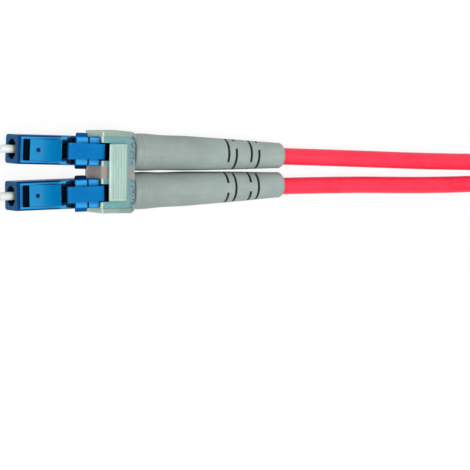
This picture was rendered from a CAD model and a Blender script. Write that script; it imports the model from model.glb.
"""The looks of the duplex LC fibre connector: the two cables at their real length with their bare
far ends, the tie around them, the springs, the materials of all parts, and the studio.

Lengths are in metres.  +X runs from the ferrules to the cables, +Y to plug 1, +Z is the latch side.
"""

import bpy
import bmesh
import math
from mathutils import Matrix, Vector


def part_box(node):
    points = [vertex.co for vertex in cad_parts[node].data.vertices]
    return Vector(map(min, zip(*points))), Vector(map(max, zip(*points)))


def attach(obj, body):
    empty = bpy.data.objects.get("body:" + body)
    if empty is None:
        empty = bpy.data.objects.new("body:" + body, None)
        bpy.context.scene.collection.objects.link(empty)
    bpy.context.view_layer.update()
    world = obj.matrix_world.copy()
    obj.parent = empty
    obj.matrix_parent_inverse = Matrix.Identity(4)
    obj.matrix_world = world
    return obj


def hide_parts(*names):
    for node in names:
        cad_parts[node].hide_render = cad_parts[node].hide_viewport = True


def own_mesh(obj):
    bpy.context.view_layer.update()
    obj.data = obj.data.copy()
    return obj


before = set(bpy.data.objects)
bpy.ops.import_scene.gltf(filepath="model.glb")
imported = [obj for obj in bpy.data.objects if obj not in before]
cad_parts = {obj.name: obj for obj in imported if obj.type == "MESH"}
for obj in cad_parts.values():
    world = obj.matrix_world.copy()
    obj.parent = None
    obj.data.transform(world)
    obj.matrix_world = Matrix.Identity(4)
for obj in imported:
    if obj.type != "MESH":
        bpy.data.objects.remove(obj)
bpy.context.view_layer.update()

MM = 0.001

# ---------------------------------------------------------------- the connector's places
TOE = math.radians(1.65)  # by which each plug is turned outwards
PITCH = 6.25 * MM  # between the plugs' axes where they are TOE_X behind the nose faces
TOE_X = 16.0 * MM
NOSE_WIDTH = 4.45 * MM
AXIS_HEIGHT = 3.1 * MM
NOSE_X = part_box("front_housing_1")[0].x + NOSE_WIDTH / 2 * math.sin(TOE)
SIDES = {1: 1, 2: -1}  # where each plug is along Y

# mm behind the nose faces, as in the construction
RECESS_X = 0.9
LATCH_X = 2.1
DIMPLE_X = 3.4
SPRING_X = 5.9
PLATE_END_X = 6.95
COLLAR_X = 9.8
SPRING_END_X = 11.2
BLOCK_X = 12.0
CLIP_X = 13.95
CLIP_BAR_X = 14.85
CLIP_BAR_END_X = 17.9
BOOT_X = 19.8
CABLE_START_X = 23.4
SLITS_X = (35.5, 41.7)


def from_nose(x, y, z):
    """A point given in mm from the nose faces, the mid-plane and the plugs' axes."""
    return Vector((NOSE_X + x * MM, y * MM, AXIS_HEIGHT + z * MM))


def on_axis(x, side):
    """The point x mm behind the nose face on a plug's own axis."""
    along = x * MM - TOE_X
    return Vector((NOSE_X + TOE_X + along * math.cos(TOE),
                   side * (PITCH / 2 - along * math.sin(TOE)), AXIS_HEIGHT))


# ---------------------------------------------------------------- camera
VIEW_TILT = math.radians(27.0)  # from straight down, towards the noses
VIEW_ROLL = math.radians(0.806)
VIEW_LEAN = math.radians(3.5)  # towards plug 1
VIEW_DISTANCE = 0.9
VIEW_LENS = 445.0
SENSOR = 36.0
AIM = from_nose(38.3, -10.0, 0.0)  # what the middle of the picture looks at


def make_camera():
    """The camera, far above and towards the noses, with a long lens."""
    data = bpy.data.cameras.new("camera")
    data.lens = VIEW_LENS
    data.sensor_width = SENSOR
    data.clip_start = 0.01
    camera = bpy.data.objects.new("camera", data)
    bpy.context.scene.collection.objects.link(camera)
    turn = (Matrix.Rotation(-VIEW_LEAN, 3, "X") @ Matrix.Rotation(-VIEW_TILT, 3, "Y")
            @ Matrix.Rotation(-VIEW_ROLL, 3, "Z"))
    camera.rotation_euler = turn.to_euler()
    camera.location = AIM + turn @ Vector((0, 0, VIEW_DISTANCE))
    bpy.context.scene.camera = camera


make_camera()


# ---------------------------------------------------------------- mesh helpers
def smooth(share):
    """A share from 0 to 1, kept in those limits and eased at both."""
    share = min(max(share, 0.0), 1.0)
    return share * share * (3 - 2 * share)


def tube_faces(mesh, rings):
    """Joins rings of vertices to a tube and closes its two ends."""
    for ring, after in zip(rings, rings[1:]):
        for k in range(len(ring)):
            mesh.faces.new((ring[k - 1], ring[k], after[k], after[k - 1]))
    for ring in (rings[0], rings[-1]):
        mesh.faces.new(ring)
    bmesh.ops.recalc_face_normals(mesh, faces=mesh.faces)


def around(count, shift=0.0):
    """Evenly spaced angles of a full turn."""
    return [2 * math.pi * (k + shift) / count for k in range(count)]


def finished(mesh, name):
    """A smooth-shaded object of a bmesh."""
    for face in mesh.faces:
        face.smooth = True
    data = bpy.data.meshes.new(name)
    mesh.to_mesh(data)
    mesh.free()
    made = bpy.data.objects.new(name, data)
    bpy.context.scene.collection.objects.link(made)
    return made


# ---------------------------------------------------------------- cables
CABLE = 2.6 * MM
CABLE_LENGTH = 0.95
ROUTES = {  # mm, as the tubes of the construction; each ends where its turns begin
    1: [(53.0, 1.95, 0.0), (76.0, 1.0, -1.0), (98.0, 0.85, -1.2)],
    2: [(53.5, -2.2, 0.0), (76.0, -2.75, -1.0), (98.0, -1.8, -1.2)],
}
HANK_MIDDLE_Y = -9.6  # mm, the line along the middle of the turns
HANK_RUN = 52.0 * MM
FOLD_POINTS = 9
RUN_POINTS = 2
STEP_START, STEP_END = 0.70, 0.92  # share of a turn in which the cable climbs a row
END_PROFILE = [  # mm past the jacket's end and radius: the yarn, then the buffer
    (-0.05, 1.0), (0.1, 0.98), (0.24, 0.84), (0.3, 0.55),
    (0.2, 0.45), (2.3, 0.45), (2.4, 0.41), (2.43, 0.3)]
YARN_RINGS = 4
END_POINTS = 32


def turn_length(radius):
    """One turn of the hank: two straight runs and two folds of that radius."""
    return 2 * HANK_RUN + 2 * math.pi * radius


def around_hank(start, radius, distance, outward):
    """The place that far along the turns; outward pushes the places on the folds out."""
    middle = from_nose(0, HANK_MIDDLE_Y, 0).y
    fold = math.pi * radius
    distance %= turn_length(radius)
    back = distance >= HANK_RUN + fold
    if back:
        distance -= HANK_RUN + fold
    angle = max(0.0, distance - HANK_RUN) / radius
    push = outward * radius if distance > HANK_RUN else radius
    x, y = min(distance, HANK_RUN) + push * math.sin(angle), push * math.cos(angle)
    if back:
        return start.x + HANK_RUN - x, middle - y
    return start.x + x, middle + y


def hank_stations(radius):
    """Distances along half a turn at which the cable has a point: on its run and on its fold."""
    run = [HANK_RUN * (i + 1) / (RUN_POINTS + 1) for i in range(RUN_POINTS)]
    fold = [HANK_RUN + math.pi * radius * (i + 0.5) / FOLD_POINTS for i in range(FOLD_POINTS)]
    return run + fold


def hank_points(start, length):
    """Points of the wound turns, one row on another, from the tangent point at the route's end."""
    radius = start.y - from_nose(0, HANK_MIDDLE_Y, 0).y
    turn = turn_length(radius)
    outward = 1 / math.cos(math.pi / 2 / FOLD_POINTS)
    halves = range(int(2 * length / turn) + 1)
    stops = [half * turn / 2 + station for half in halves for station in hank_stations(radius)]
    last_row = int(length / turn)
    points = []
    for stop in [s for s in stops if s < length - CABLE] + [length]:
        row, share = divmod(stop / turn, 1)
        climb = smooth((share - STEP_START) / (STEP_END - STEP_START)) if row < last_row else 0.0
        x, y = around_hank(start, radius, stop, outward)
        points.append(Vector((x, y, start.z + (row + climb) * CABLE)))
    return points


def make_cable_end(number, end, along):
    """The stripped end: the yarn cut off at the jacket, and the fibre in its buffer."""
    side = along.cross(Vector((0, 0, 1))).normalized()
    up = side.cross(along)
    mesh = bmesh.new()
    outward = [side * math.cos(t) + up * math.sin(t) for t in around(END_POINTS)]
    rings = [[mesh.verts.new(end + (along * x + out * radius) * MM) for out in outward]
             for x, radius in END_PROFILE]
    tube_faces(mesh, rings)
    tip = finished(mesh, f"stripped_end_{number}")
    for i, face in enumerate(tip.data.polygons):
        face.material_index = int(i >= YARN_RINGS * END_POINTS)
    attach(tip, "connector")
    return tip


def make_cable(number):
    """One cable from inside its boot to its bare end, along its route and then in the hank."""
    side = SIDES[number]
    route = [on_axis(CABLE_START_X, side)] + [from_nose(*p) for p in ROUTES[number]]
    laid = sum((b - a).length for a, b in zip(route, route[1:]))
    points = route + hank_points(route[-1], CABLE_LENGTH - laid)
    curve = bpy.data.curves.new(f"red_cable_{number}", "CURVE")
    curve.dimensions = "3D"
    curve.bevel_depth = 1.0  # times each point's radius
    curve.bevel_resolution = 5
    curve.resolution_u = 6
    curve.use_fill_caps = True
    spline = curve.splines.new("NURBS")
    spline.points.add(len(points) - 1)
    for control, point in zip(spline.points, points):
        control.co = (*point, 1.0)
        control.radius = CABLE / 2
    spline.order_u = 3
    spline.use_endpoint_u = True
    cable = bpy.data.objects.new(f"red_cable_{number}", curve)
    bpy.context.scene.collection.objects.link(cable)
    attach(cable, "connector")
    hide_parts(f"cable_{number}", f"hank_{number}")
    tip = make_cable_end(number, points[-1], (points[-1] - points[-2]).normalized())
    return cable, tip


cables = {number: make_cable(number) for number in SIDES}


# ---------------------------------------------------------------- the tie around the hank
TIE_THICK = 0.55 * MM
TIE_LAP = 13 * MM
TIE_CLIMB = 2.5 * MM
TIE_SAG = 0.45 * MM
TIE_SAG_SPAN = 0.55  # share of the hank's half width over which the strap sags
TIE_END_ROUND = 0.92  # how far the lapped end's width is rounded off, 1 being to nothing
TIE_STEPS = 130
SECTION_POINTS = 28
SECTION_POWERS = (0.3, 0.35)  # of a section's width and thickness: 1 is an oval, 0 a rectangle


def around_tie(distance, half_y, half_z, radius):
    """The place in Y and Z, and the heading, that far round an oblong from its top's middle."""
    y, z, heading = 0.0, half_z, math.pi
    long, high = 2 * (half_y - radius), 2 * (half_z - radius)
    for leg in (long / 2, high, long, high, long / 2):
        step = min(distance, leg)
        y, z = y + step * math.cos(heading), z + step * math.sin(heading)
        bend = min(distance - step, math.pi / 2 * radius) / radius
        y += radius * (math.sin(heading + bend) - math.sin(heading))
        z += radius * (math.cos(heading) - math.cos(heading + bend))
        heading += bend
        distance -= step + bend * radius
    return y, z, heading


def rounded(share, power):
    """A sine or cosine pushed out towards 1 or -1, as for a rounded rectangle."""
    return math.copysign(abs(share) ** power, share)


def make_tie():
    """A hook-and-loop strap: once round the hank, sagging over its middle, its rounded end lapped."""
    low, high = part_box("hank_tie")
    middle, half_width = (low + high) / 2, (high.x - low.x) / 2
    half_y, half_z = (high.y - low.y - TIE_THICK) / 2, (high.z - low.z - TIE_THICK) / 2
    radius = (CABLE - TIE_THICK) / 2
    girth = 4 * (half_y + half_z) - (8 - 2 * math.pi) * radius
    length = girth + TIE_LAP
    mesh = bmesh.new()
    rings = []
    for i in range(TIE_STEPS + 1):
        along = length * i / TIE_STEPS
        y, z, heading = around_tie(along % girth, half_y, half_z, radius)
        out_y, out_z = math.sin(heading), -math.cos(heading)
        z -= TIE_SAG * max(0.0, out_z) * max(0.0, 1 - (y / (TIE_SAG_SPAN * half_y)) ** 2) ** 2
        lift = TIE_THICK * smooth((along - girth) / TIE_CLIMB + 1)
        tail = max(0.0, 1 - (length - along) / half_width)
        width = half_width * math.sqrt(1 - TIE_END_ROUND * tail ** 2)
        ring = []
        for angle in around(SECTION_POINTS, 0.5):
            across = rounded(math.cos(angle), SECTION_POWERS[0]) * width
            out = lift + rounded(math.sin(angle), SECTION_POWERS[1]) * TIE_THICK / 2
            ring.append(mesh.verts.new(middle + Vector((across, y + out * out_y, z + out * out_z))))
        rings.append(ring)
    tube_faces(mesh, rings)
    tie = finished(mesh, "strap")
    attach(tie, "connector")
    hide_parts("hank_tie")
    return tie


strap = make_tie()


# ---------------------------------------------------------------- springs
SPRING_MEAN = 2.2 * MM
SPRING_WIRE = 0.3 * MM
SPRING_TURNS = 6
SPRING_STEPS = 40  # to a turn
SPRING_CLOSED = 0.7  # turns at each end that lie close
SPRING_OPENING = 0.6  # turns in which the pitch grows from there
OPEN_GAP = SPRING_MEAN / 3  # before the whole is scaled to its length
WIRE_POINTS = 12


def make_spring(number):
    """A compression spring with closed ends, which shortens as its ferrule goes in."""
    side = SIDES[number]
    start, end = on_axis(SPRING_X, side), on_axis(SPRING_END_X, side)
    length, along = (end - start).length, (end - start).normalized()
    up = Vector((0, 0, 1))
    across = up.cross(along)
    steps = SPRING_TURNS * SPRING_STEPS
    places = [0.0]
    for i in range(steps):
        turn = (i + 0.5) / SPRING_STEPS
        opened = smooth((min(turn, SPRING_TURNS - turn) - SPRING_CLOSED) / SPRING_OPENING)
        places.append(places[-1] + SPRING_WIRE + opened * OPEN_GAP)
    scale = (length - SPRING_WIRE) / places[-1]
    mesh = bmesh.new()
    rings = []
    for i, place in enumerate(places):
        angle = 2 * math.pi * i / SPRING_STEPS
        out = up * math.cos(angle) + across * math.sin(angle)
        centre = start + along * (SPRING_WIRE / 2 + place * scale) + out * SPRING_MEAN / 2
        wire = [out * math.cos(t) + along * math.sin(t) for t in around(WIRE_POINTS)]
        rings.append([mesh.verts.new(centre + ray * SPRING_WIRE / 2) for ray in wire])
    tube_faces(mesh, rings)
    coil = finished(mesh, f"coil_{number}")
    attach(coil, "connector")
    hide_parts(f"spring_{number}")
    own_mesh(coil)
    return coil


springs = [make_spring(number) for number in SIDES]


# ---------------------------------------------------------------- material helpers
NOISE_RANGE = (0.3, 0.7)  # where most of a noise's values lie
BEVEL_SAMPLES = 6
HOLLOW_SAMPLES = 8


def srgb(r, g, b):
    """Linear colour of an sRGB colour given from 0 to 255."""
    def linear(v):
        v /= 255
        return v / 12.92 if v <= 0.04045 else ((v + 0.055) / 1.055) ** 2.4
    return (linear(r), linear(g), linear(b), 1.0)


class Look:
    """A procedural material and the few node chains that the materials share.

    Its places are in mm: x behind the nose faces, y from the mid-plane and z from the plugs' axes,
    or in a plug's own frame, y from the plug's axis, where a side is given."""

    def __init__(self, name, side=0, **sockets):
        self.material = bpy.data.materials.new(name)
        self.material.use_nodes = True
        self.nodes = self.material.node_tree.nodes
        self.shader = self.nodes["Principled BSDF"]
        for socket, value in sockets.items():
            self.shader.inputs[socket.replace("_", " ")].default_value = value
        origin = on_axis(0, side) if side else from_nose(0, 0, 0)
        mapping = self.node("ShaderNodeMapping", vector_type="TEXTURE", Location=origin,
                            Rotation=(0, 0, -TOE * side), Scale=(MM, MM, MM))
        self.link(self.node("ShaderNodeTexCoord").outputs["Object"], mapping.inputs["Vector"])
        self.place = mapping.outputs[0]
        self.x, self.y, self.z = self.parts(self.place)
        self.across = self.math("ABSOLUTE", self.y)

    def node(self, kind, **values):
        """A new node, with its sockets or settings of those names set."""
        made = self.nodes.new(kind)
        for key, value in values.items():
            if key in made.inputs:
                made.inputs[key].default_value = value
            else:
                setattr(made, key, value)
        return made

    def link(self, output, target):
        self.material.node_tree.links.new(output, target)
        return output

    def feed(self, value, target):
        """Links an output to a socket, or sets the socket to a constant."""
        if isinstance(value, bpy.types.NodeSocket):
            self.link(value, target)
        else:
            target.default_value = value

    def parts(self, vector):
        """The x, y and z of a vector."""
        made = self.node("ShaderNodeSeparateXYZ")
        self.link(vector, made.inputs[0])
        return made.outputs

    def math(self, operation, a, b=0.0):
        made = self.node("ShaderNodeMath", operation=operation)
        self.feed(a, made.inputs[0])
        self.feed(b, made.inputs[1])
        return made.outputs[0]

    def noise(self, scale, detail=3.0, rough=0.5, stretch=(1, 1, 1)):
        """Noise with that many lumps per mm."""
        mapping = self.node("ShaderNodeMapping", Scale=stretch)
        self.link(self.place, mapping.inputs["Vector"])
        made = self.node("ShaderNodeTexNoise", Scale=scale, Detail=detail, Roughness=rough)
        self.link(mapping.outputs[0], made.inputs["Vector"])
        return made.outputs["Fac"]

    def spread(self, fac, low, high, to_low=0.0, to_high=1.0):
        """A value from low to high turned into one from to_low to to_high, and kept there."""
        made = self.node("ShaderNodeMapRange")
        for socket, value in zip(("From Min", "From Max", "To Min", "To Max"),
                                 (low, high, to_low, to_high)):
            made.inputs[socket].default_value = value
        self.link(fac, made.inputs["Value"])
        return made.outputs["Result"]

    def mix(self, fac, a, b, blend="MIX"):
        """Colour a where the factor is 0 and b where it is 1."""
        made = self.node("ShaderNodeMix", data_type="RGBA", blend_type=blend)
        for value, index in ((fac, 0), (a, 6), (b, 7)):  # the sockets of a mix of colours
            self.feed(value, made.inputs[index])
        return made.outputs[2]

    def zone(self, soft=0.06, **limits):
        """1 where every named place (x, y, z or across) is between its two limits, 0 elsewhere."""
        mask = None
        for name, (low, high) in limits.items():
            place = getattr(self, name)
            for edge, start, end in ((low, 0.0, 1.0), (high, 1.0, 0.0)):
                if edge is None:
                    continue
                side = self.spread(place, edge - soft / 2, edge + soft / 2, start, end)
                mask = side if mask is None else self.math("MULTIPLY", mask, side)
        return mask

    def paint(self, base, colour, soft=0.06, **limits):
        """The base with a colour on the places between the limits."""
        return self.mix(self.zone(soft, **limits), base, colour)

    def distance(self, a, b):
        """How far a place is from where both values are 0."""
        squares = [self.math("MULTIPLY", value, value) for value in (a, b)]
        return self.math("SQRT", self.math("ADD", *squares))

    def edges(self, radius, low=0.02, high=0.25):
        """1 on edges that stand out or turn in within the radius, 0 on open faces."""
        bevel = self.node("ShaderNodeBevel", Radius=radius)
        bevel.samples = BEVEL_SAMPLES
        normal = self.node("ShaderNodeNewGeometry").outputs["Normal"]
        dot = self.node("ShaderNodeVectorMath", operation="DOT_PRODUCT")
        self.link(bevel.outputs[0], dot.inputs[0])
        self.link(normal, dot.inputs[1])
        return self.spread(dot.outputs["Value"], 1 - high, 1 - low, 1.0, 0.0)

    def hollows(self, distance, low=0.35, high=0.95):
        """1 deep in a gap, 0 in the open."""
        made = self.node("ShaderNodeAmbientOcclusion", Distance=distance)
        made.samples = HOLLOW_SAMPLES
        return self.spread(made.outputs["AO"], low, high, 1.0, 0.0)

    def colour(self, output):
        self.link(output, self.shader.inputs["Base Color"])

    def roughness(self, fac, low, high):
        """Roughness from low to high, as a noise goes."""
        self.link(self.spread(fac, *NOISE_RANGE, low, high), self.shader.inputs["Roughness"])

    def relief(self, layers, soft_edge=None):
        """Bump layers of (height, strength, distance), over edges softened by a radius."""
        normal = None
        if soft_edge:
            bevel = self.node("ShaderNodeBevel", Radius=soft_edge)
            bevel.samples = BEVEL_SAMPLES
            normal = bevel.outputs[0]
        for height, strength, distance in layers:
            bump = self.node("ShaderNodeBump", Strength=strength, Distance=distance)
            self.link(height, bump.inputs["Height"])
            if normal:
                self.link(normal, bump.inputs["Normal"])
            normal = bump.outputs[0]
        self.link(normal, self.shader.inputs["Normal"])


# ---------------------------------------------------------------- materials
BLACK_BLUE = srgb(3, 10, 20)
SEAM_BLUE = srgb(0, 36, 84)
TOP_Z = 2.2  # mm from a plug's axis to its flat top and sides
PLATE_SIDE = 1.68  # half the latch plate's width, with a little to spare
COLLAR = (COLLAR_X - 0.1, BLOCK_X)
BORE = 1.6  # radius of the hole in a nose's face
DIMPLE = 0.28


def paint_tops(look, base, plate):
    """The latch's plate, the tops of the collar, the block and the side strips, and light edges."""
    fading = look.mix(look.spread(look.x, 2.0, 6.5), srgb(4, 134, 188), srgb(0, 104, 160))
    base = look.mix(plate, base, fading)
    base = look.paint(base, srgb(50, 160, 226), x=(9.85, 13.75), across=(None, 2.15),
                      z=(TOP_Z, TOP_Z + 0.1))
    base = look.paint(base, srgb(34, 142, 208), x=(0.6, 8.6), across=(1.62, 2.1),
                      z=(TOP_Z - 0.05, TOP_Z + 0.1))
    return look.mix(look.edges(0.1 * MM), base, srgb(70, 166, 224))


def paint_ears(look, base, side):
    """The collar's ears, dark at their rims and darkest where the two plugs face each other."""
    ears = look.zone(x=COLLAR, across=(TOP_Z, None))
    rims = look.math("MULTIPLY", ears, look.edges(0.22 * MM, 0.01, 0.1))
    base = look.mix(ears, base, srgb(2, 78, 146))
    base = look.mix(rims, base, SEAM_BLUE)
    facing = (None, -TOP_Z) if side > 0 else (TOP_Z, None)
    return look.paint(base, srgb(0, 30, 68), x=COLLAR, y=facing)


def paint_seams(look, base):
    """The seams behind the nose's face and on both sides of the block, and the nose's long edges."""
    for seam in (dict(x=(-0.1, 0.5), z=(2.06, None)),
                 dict(x=(BLOCK_X - 0.26, BLOCK_X + 0.06), z=(0.3, 2.3)),
                 dict(x=(13.72, 13.9), z=(0.3, 2.4))):
        base = look.paint(base, SEAM_BLUE, **seam)
    return look.paint(base, srgb(0, 50, 100), 0.1, across=(1.98, 2.6), z=(1.0, None), x=(0.1, 9.7))


def paint_openings(look, base, matt):
    """The slot before the plate, the gap behind it and the one behind the trigger, dark and matt."""
    for opening in (dict(x=(RECESS_X - 0.02, LATCH_X + 0.02), across=(None, 1.7), z=(1.7, 2.19)),
                    dict(x=(6.87, 7.9), across=(None, 1.62), z=(None, 3.2)),
                    dict(x=(14.4, 15.6), z=(2.0, None))):
        dark = look.zone(0.1, **opening)
        base = look.mix(dark, base, BLACK_BLUE)
        matt = look.math("MAXIMUM", matt, dark)
    return base, matt


def paint_strip_ends(look, base):
    """The dark recess under the trigger's front, and the bright and dark ends of the side strips."""
    base = look.paint(base, srgb(0, 30, 66), 0.1, x=(7.7, 9.9), across=(None, 1.74), z=(None, 2.05))
    base = look.paint(base, srgb(72, 172, 232), 0.4, x=(7.3, 9.0), across=(1.7, 2.06), z=(0.5, 2.25))
    return look.paint(base, srgb(12, 74, 124), 0.3, x=(9.0, 9.9), across=(1.5, 2.06), z=(0.5, 2.1))


def paint_holes(look, base):
    """The nose's face, the bore in it and the dimple in the latch's plate."""
    base = look.paint(base, srgb(0, 82, 130), 0.1, x=(None, 0.06))
    inside = look.spread(look.distance(look.y, look.z), BORE, BORE + 0.06, 1.0, 0.0)
    base = look.mix(look.math("MULTIPLY", inside, look.spread(look.x, 0.03, 0.3)), base,
                    srgb(4, 12, 22))
    away = look.distance(look.math("SUBTRACT", look.x, DIMPLE_X), look.y)
    dimple = look.math("MULTIPLY", look.spread(away, DIMPLE, DIMPLE + 0.12, 1.0, 0.0),
                       look.zone(z=(TOP_Z, TOP_Z + 0.7)))
    return look.mix(dimple, base, srgb(0, 36, 76))


def blue_plastic(number):
    """One plug's moulded blue: glossy, lighter on its open tops, nearly black in its openings."""
    side = SIDES[number]
    look = Look(f"blue_plastic_{number}", side, Specular_IOR_Level=0.06,
                Subsurface_Weight=0.1, Subsurface_Scale=0.5 * MM)
    look.shader.inputs["Subsurface Radius"].default_value = (0.1, 0.5, 1.0)
    flow = look.noise(0.42, 4.0, 0.55, (0.35, 1, 1))
    plate = look.zone(0.1, across=(None, PLATE_SIDE), z=(2.17, 3.6), x=(2.0, PLATE_END_X))
    base = look.mix(look.spread(flow, *NOISE_RANGE), srgb(4, 107, 170), srgb(9, 121, 187))
    base = paint_tops(look, base, plate)
    base = paint_ears(look, base, side)
    base = look.mix(look.hollows(0.9 * MM), base, srgb(0, 44, 88))
    base = paint_seams(look, base)
    matt = look.spread(look.noise(2.6, 3.0), *NOISE_RANGE, 0.32, 0.48)
    base, matt = paint_openings(look, base, matt)
    plate_rear = look.math("MULTIPLY", plate, look.spread(look.x, 3.0, 5.5))
    matt = look.math("MAXIMUM", matt, plate_rear)
    base = paint_strip_ends(look, base)
    base = paint_holes(look, base)
    look.colour(look.mix(look.hollows(2.0 * MM, 0.12, 0.5), base, srgb(2, 10, 20)))
    look.link(matt, look.shader.inputs["Roughness"])
    look.relief([(flow, 0.05, 0.05 * MM), (look.noise(9.0, 4.0), 0.12, 0.02 * MM)], 0.06 * MM)
    return look.material


CLIP_ROOF_Z = 2.0  # mm above the plugs' axes, just under the clip's roof
CLIP_BAR = dict(across=(None, 4.35), z=(2.9, None))  # the bar on the roof
CLIP_MIDDLE = 0.95  # half the width of the strip between the two plugs
NECK_OUTSIDE = 5.3  # from the mid-plane to where a plug's neck ends under the roof
POCKET = 1.36  # half the width of the opening behind a trigger
WHITE_EDGE = srgb(216, 246, 240)


def paint_roof(look, base, cloud):
    """The roof over the necks, the streaky bar on it, the strip behind that and the warm middle."""
    necks = look.zone(0.3, across=(1.0, 5.35), x=(14.2, None), z=(CLIP_ROOF_Z, None))
    teal = look.mix(look.spread(cloud, *NOISE_RANGE), srgb(104, 164, 168), srgb(118, 177, 178))
    base = look.mix(necks, base, teal)
    streaks = look.spread(look.noise(1.6, 3.0, 0.5, (3.0, 0.12, 1)), *NOISE_RANGE)
    streaky = look.mix(streaks, srgb(162, 200, 186), srgb(191, 218, 202))
    base = look.paint(base, streaky, 0.15, x=(CLIP_BAR_X, CLIP_BAR_END_X), **CLIP_BAR)
    base = look.paint(base, srgb(122, 160, 164), 0.5, x=(17.7, None), across=(None, NECK_OUTSIDE),
                      z=(CLIP_ROOF_Z, None))
    warm = look.mix(look.spread(cloud, *NOISE_RANGE), srgb(149, 142, 130), srgb(176, 161, 151))
    base = look.paint(base, warm, 0.5, across=(None, CLIP_MIDDLE), z=(-4.0, 2.9))
    return look.paint(base, srgb(214, 246, 232), 0.1, x=(CLIP_BAR_X, CLIP_BAR_X + 0.2), **CLIP_BAR)


def paint_clip_edges(look, base):
    """The roof's front edge, bright but for its middle, and the other edges, faint outside."""
    base = look.paint(base, WHITE_EDGE, x=(CLIP_X - 0.1, CLIP_X + 0.22), z=(2.55, None),
                      across=(0.9, NECK_OUTSIDE))
    rims = look.math("MULTIPLY", look.edges(0.14 * MM),
                     look.spread(look.across, NECK_OUTSIDE - 0.2, NECK_OUTSIDE, 1.0, 0.35))
    base = look.mix(rims, base, srgb(214, 240, 230))
    return look.paint(base, srgb(160, 147, 137), 0.4, x=(CLIP_X - 0.3, CLIP_X + 0.8),
                      across=(None, CLIP_MIDDLE), z=(2.2, None))


def paint_clip_ends(look, base):
    """The scuffs along the rear, the web and walls before the roof, and the triggers' pockets."""
    rear = look.zone(0.5, x=(18.8, None), across=(1.1, None), z=(1.0, None))
    scuffs = look.math("MULTIPLY", rear, look.spread(look.noise(2.4, 5.0, 0.65), 0.48, 0.57))
    base = look.mix(scuffs, base, srgb(74, 102, 108))
    base = look.paint(base, srgb(255, 236, 216), 0.1, x=(None, CLIP_X), across=(None, 1.1))
    base = look.paint(base, srgb(212, 238, 210), 0.1, x=(None, CLIP_X + 0.15), across=(4.2, None))
    axis = PITCH / MM / 2
    return look.paint(base, srgb(6, 12, 18), x=(None, 15.42), across=(axis - POCKET, axis + POCKET),
                      z=(1.5, 3.5))


def frosted_plastic():
    """The clip's cloudy plastic: the blue necks show through its roof, the gap between them is
    warmer, and its edges catch the light."""
    look = Look("frosted_plastic", IOR=1.5, Transmission_Weight=0.15, Subsurface_Weight=0.5,
                Subsurface_Scale=1.6 * MM, Specular_IOR_Level=0.3)
    look.shader.inputs["Subsurface Radius"].default_value = (0.9, 1.0, 0.95)
    cloud = look.noise(0.5, 5.0, 0.6)
    base = look.mix(look.spread(cloud, 0.35, 0.65), srgb(133, 153, 140), srgb(148, 169, 155))
    base = paint_roof(look, base, cloud)
    base = look.mix(look.hollows(0.8 * MM, 0.3, 0.85), base, srgb(110, 142, 138))
    base = paint_clip_edges(look, base)
    look.colour(paint_clip_ends(look, base))
    look.roughness(look.noise(1.5, 4.0), 0.38, 0.6)
    look.relief([(cloud, 0.08, 0.08 * MM), (look.noise(5.2, 5.0), 0.3, 0.03 * MM)], 0.07 * MM)
    return look.material


BOOT_RINGS_X = (BOOT_X, 23.0)  # where the rings fade out
BOOT_SHADE_X = (25.0, 37.0)  # where the darker front turns into the lighter rear


def boot_rubber():
    """The boots' grey rubber: drawn lengthwise, ringed near the clip, darker there and at the slits."""
    look = Look("boot_rubber", Specular_IOR_Level=0.3, Subsurface_Weight=0.08,
                Subsurface_Scale=0.5 * MM)
    cloud = look.noise(0.26, 4.0, 0.6)
    base = look.mix(look.spread(cloud, *NOISE_RANGE), srgb(136, 150, 145), srgb(152, 165, 159))
    drawn = look.noise(0.9, 4.0, 0.6, (0.15, 1.4, 1.4))
    base = look.mix(look.spread(drawn, 0.25, 0.75, 0.0, 0.3), base, srgb(176, 184, 174))
    rings = look.math("MULTIPLY",
                      look.spread(look.noise(2.2, 3.0, 0.5, (1.0, 0.04, 0.04)), 0.45, 0.7),
                      look.spread(look.x, *BOOT_RINGS_X, 0.3, 0.0))
    base = look.mix(rings, base, srgb(192, 192, 180))
    base = look.mix(look.hollows(0.7 * MM), base, srgb(72, 88, 84))
    base = look.mix(look.edges(0.05 * MM), base, srgb(172, 184, 178))
    slit_rims = look.math("MULTIPLY", look.zone(0.2, x=SLITS_X), look.edges(0.14 * MM))
    base = look.mix(slit_rims, base, srgb(62, 77, 74))
    front = look.spread(look.x, *BOOT_SHADE_X, 1.0, 0.0)
    base = look.mix(front, base, srgb(241, 241, 241), "MULTIPLY")
    base = look.paint(base, srgb(70, 82, 80), 0.3, x=(None, BOOT_X + 0.15))
    look.colour(base)
    look.roughness(look.noise(1.8, 3.0), 0.46, 0.62)
    look.relief([(look.noise(7.0, 5.0), 0.35, 0.02 * MM), (cloud, 0.1, 0.08 * MM)], 0.05 * MM)
    return look.material


def cable_jacket():
    """The cables' extruded red jacket."""
    look = Look("cable_jacket", Specular_IOR_Level=0.35, Subsurface_Weight=0.2,
                Subsurface_Scale=0.6 * MM)
    look.shader.inputs["Subsurface Radius"].default_value = (1.0, 0.25, 0.3)
    cloud = look.noise(0.22, 4.0, 0.6)
    base = look.mix(look.spread(cloud, *NOISE_RANGE), srgb(240, 36, 66), srgb(250, 52, 82))
    look.colour(base)
    look.roughness(look.noise(1.5, 3.0), 0.4, 0.55)
    look.relief([(look.noise(6.0, 5.0), 0.25, 0.02 * MM), (cloud, 0.08, 0.1 * MM)])
    return look.material


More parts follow.
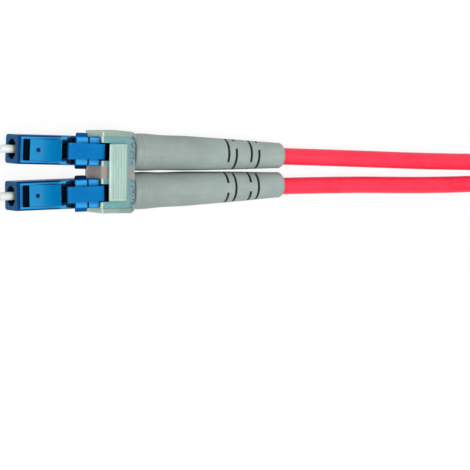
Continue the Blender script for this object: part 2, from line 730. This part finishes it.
def zirconia():
    """The ferrules' polished ceramic, a little duller inside the nose."""
    look = Look("zirconia", Specular_IOR_Level=0.5, Subsurface_Weight=0.3,
                Subsurface_Scale=0.5 * MM, IOR=1.9)
    cloud = look.noise(0.9, 3.0)
    base = look.mix(look.spread(cloud, 0.35, 0.65), srgb(214, 222, 216), srgb(228, 234, 227))
    base = look.mix(look.spread(look.x, -0.8, 0.6), base, srgb(206, 214, 200))
    base = look.mix(look.hollows(1.0 * MM), base, srgb(132, 148, 134))
    look.colour(base)
    look.roughness(look.noise(4.0, 2.0), 0.28, 0.4)
    look.relief([(look.noise(8.0, 3.0), 0.03, 0.01 * MM)], 0.03 * MM)
    return look.material


DULLER = 16  # how much darker the metals' lines are, of 255


def metal(name, tint, low, high, turned=True):
    """Metal of a tint and a range of roughness, with fine lines around X where it's turned."""
    look = Look(name, Metallic=1.0)
    lines = look.noise(1.5, 4.0, 0.6, (6, 1, 1) if turned else (1, 1, 1))
    dull = srgb(*[v - DULLER for v in tint])
    look.colour(look.mix(look.spread(lines, *NOISE_RANGE), dull, srgb(*tint)))
    look.roughness(lines, low, high)
    look.relief([(lines, 0.2, 0.02 * MM)], 0.04 * MM)
    return look.material


def plain_plastic(name, dark, light):
    """Extruded plastic or yarn, clouded between two colours."""
    look = Look(name, Specular_IOR_Level=0.4, Subsurface_Weight=0.2, Subsurface_Scale=0.3 * MM)
    cloud = look.noise(0.9, 4.0)
    look.colour(look.mix(look.spread(cloud, *NOISE_RANGE), srgb(*dark), srgb(*light)))
    look.roughness(cloud, 0.35, 0.5)
    look.relief([(look.noise(5.0, 4.0), 0.2, 0.02 * MM)])
    return look.material


def woven_strap():
    """The tie's black woven band, with its ribs and fuzz."""
    look = Look("woven_strap", Sheen_Weight=0.4, Sheen_Roughness=0.5, Specular_IOR_Level=0.2)
    wave = look.node("ShaderNodeTexWave", Scale=1.1, Distortion=1.5, Detail=2.0)
    look.link(look.place, wave.inputs["Vector"])
    fuzz = look.noise(6.0, 4.0)
    look.colour(look.mix(look.spread(fuzz, *NOISE_RANGE), srgb(22, 22, 25), srgb(46, 46, 50)))
    look.roughness(fuzz, 0.75, 0.95)
    look.relief([(wave.outputs["Fac"], 0.5, 0.08 * MM), (fuzz, 0.5, 0.05 * MM)], 0.1 * MM)
    return look.material


# ---------------------------------------------------------------- dressing the construction
def dress(material, *names):
    """Gives a material to a CAD node, or to both plugs' nodes of that name."""
    for name in names:
        found = [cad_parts[n] for n in (name, f"{name}_1", f"{name}_2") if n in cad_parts]
        for node in found:
            node.data.materials.clear()
            node.data.materials.append(material)


BLUE_PARTS = ("front_housing", "latch", "rear_housing", "trigger")
for plug in SIDES:
    dress(blue_plastic(plug), *[f"{part}_{plug}" for part in BLUE_PARTS])
dress(frosted_plastic(), "duplex_clip")
dress(boot_rubber(), "boot")
dress(zirconia(), "ferrule")
dress(metal("flange_steel", (196, 190, 178), 0.25, 0.4), "ferrule_flange")
dress(metal("crimp_nickel", (190, 188, 182), 0.22, 0.4), "crimp_body", "crimp_sleeve")
steel = metal("spring_steel", (150, 150, 152), 0.25, 0.35, turned=False)
for coil in springs:
    coil.data.materials.append(steel)
dress(plain_plastic("clear_tube", (206, 206, 196), (222, 222, 212)), "ferrule_tube")
buffer = plain_plastic("buffer_white", (226, 226, 222), (238, 238, 234))
dress(buffer, "buffered_fibre")
strap.data.materials.append(woven_strap())
red = cable_jacket()
yarn = plain_plastic("yarn_yellow", (196, 160, 60), (226, 196, 96))
for cable, tip in cables.values():
    cable.data.materials.append(red)
    tip.data.materials.append(yarn)
    tip.data.materials.append(buffer)


# ---------------------------------------------------------------- studio
FLOOR_HALF = 1.5
FLOOR_WHITE = 0.88  # share of the floor's look that is plain white, the rest keeps the shadow
SKY = (0.93, 0.96, 1.0, 1.0)
SKY_STRENGTH = 0.5
LAMP_TARGET = from_nose(22, 0, 0)


def white_to_the_eye(tree, lit, share):
    """A shader that shows white to the camera, glossy and transmission rays for that share."""
    nodes, links = tree.nodes, tree.links
    path = nodes.new("ShaderNodeLightPath")
    seen = path.outputs["Is Camera Ray"]
    for kind in ("Is Glossy Ray", "Is Transmission Ray"):
        total = nodes.new("ShaderNodeMath")
        total.operation = "MAXIMUM"
        links.new(seen, total.inputs[0])
        links.new(path.outputs[kind], total.inputs[1])
        seen = total.outputs[0]
    scaled = nodes.new("ShaderNodeMath")
    scaled.operation = "MULTIPLY"
    scaled.inputs[1].default_value = share
    links.new(seen, scaled.inputs[0])
    mixed = nodes.new("ShaderNodeMixShader")
    links.new(scaled.outputs[0], mixed.inputs[0])
    links.new(lit, mixed.inputs[1])
    return mixed


def make_floor():
    """A white floor under the connector, which keeps a faint shadow."""
    mesh = bpy.data.meshes.new("floor")
    corners = [(x * FLOOR_HALF, y * FLOOR_HALF, 0) for x, y in ((-1, -1), (1, -1), (1, 1), (-1, 1))]
    mesh.from_pydata(corners, [], [(0, 1, 2, 3)])
    floor = bpy.data.objects.new("floor", mesh)
    bpy.context.scene.collection.objects.link(floor)
    material = bpy.data.materials.new("floor_white")
    material.use_nodes = True
    tree = material.node_tree
    shader = tree.nodes["Principled BSDF"]
    shader.inputs["Base Color"].default_value = srgb(238, 238, 238)
    shader.inputs["Roughness"].default_value = 0.9
    glow = tree.nodes.new("ShaderNodeEmission")
    mixed = white_to_the_eye(tree, shader.outputs[0], FLOOR_WHITE)
    tree.links.new(glow.outputs[0], mixed.inputs[2])
    tree.links.new(mixed.outputs[0], tree.nodes["Material Output"].inputs[0])
    mesh.materials.append(material)


def make_world():
    """A cool dim sky that lights the connector, and white where the eye meets it."""
    world = bpy.data.worlds.new("studio")
    bpy.context.scene.world = world
    world.use_nodes = True
    tree = world.node_tree
    sky = tree.nodes["Background"]
    sky.inputs[0].default_value = SKY
    sky.inputs[1].default_value = SKY_STRENGTH
    white = tree.nodes.new("ShaderNodeBackground")
    white.inputs[0].default_value = (1, 1, 1, 1)
    white.inputs[1].default_value = 1.0
    mixed = white_to_the_eye(tree, sky.outputs[0], 1.0)
    tree.links.new(white.outputs[0], mixed.inputs[2])
    tree.links.new(mixed.outputs[0], tree.nodes["World Output"].inputs[0])


def soft_box(name, offset, size, power):
    """A square lamp aimed at the connector from an offset."""
    data = bpy.data.lights.new(name, "AREA")
    data.shape = "SQUARE"
    data.size = size
    data.energy = power
    lamp = bpy.data.objects.new(name, data)
    bpy.context.scene.collection.objects.link(lamp)
    lamp.location = LAMP_TARGET + Vector(offset)
    lamp.rotation_euler = (-Vector(offset)).to_track_quat("-Z", "Y").to_euler()


make_floor()
make_world()
soft_box("overhead", offset=(-0.02, -0.04, 0.53), size=0.2, power=2.1)
soft_box("front_fill", offset=(-0.5, 0.0, 0.35), size=0.4, power=0.35)

bpy.context.scene.view_settings.view_transform = "Standard"
bpy.context.view_layer.update()
